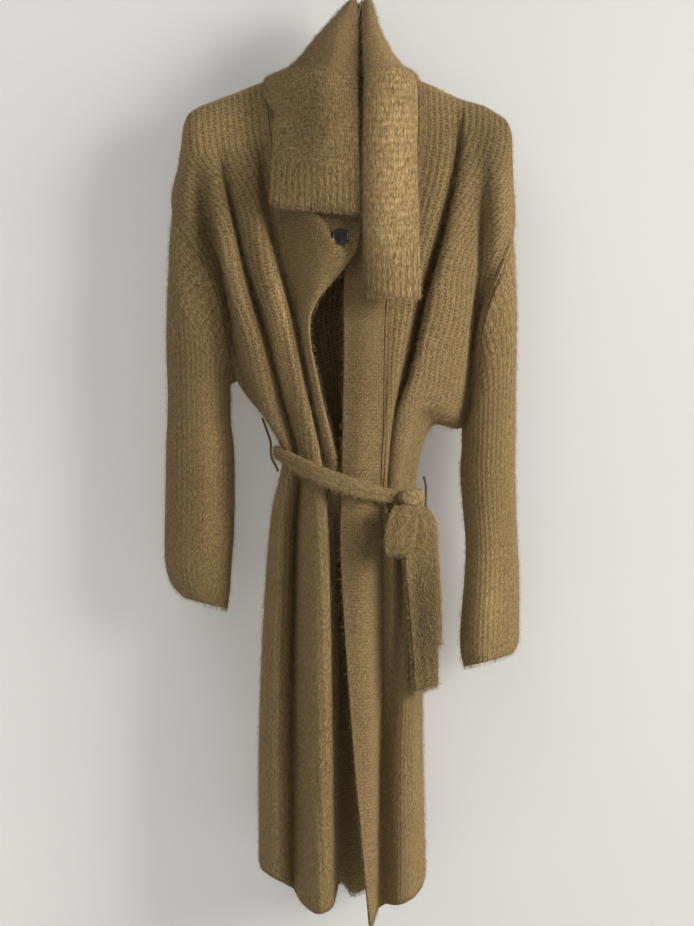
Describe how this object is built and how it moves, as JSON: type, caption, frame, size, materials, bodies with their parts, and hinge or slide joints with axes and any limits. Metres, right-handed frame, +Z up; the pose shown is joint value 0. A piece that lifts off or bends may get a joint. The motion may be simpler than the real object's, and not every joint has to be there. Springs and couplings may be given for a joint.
{
  "type": "belted long cardigan on a hanger",
  "caption": "Long open-front knitted cardigan with a scarf collar and a tied belt, hanging on a plain hanger.",
  "frame": {"origin": "Where the hook of the hanger rests on a rail, on the inside of the top of its bend", "axes": "+Z up as it hangs, the front of the garment faces -Y, +X to the right as seen from the front"},
  "size_m": [0.454, 0.1747, 1.2041],
  "materials": {
    "knit": "brushed chunky knit",
    "horn": "smooth, slightly glossy",
    "wood": "varnished",
    "steel": "polished"
  },
  "bodies": {
    "root": {"back": "knit", "front_right": "knit", "front_left": "knit", "band_right": "knit", "band_left": "knit", "sleeve_right": "knit", "sleeve_left": "knit", "collar": "knit", "belt_run": "knit", "belt_knot": "knit", "belt_bow": "knit", "belt_tail_front": "knit", "belt_tail_back": "knit", "belt_loop_right": "knit", "belt_loop_left": "knit", "button": "horn", "hanger_bar": "wood", "hanger_hook": "steel"}
  },
  "joints": []
}
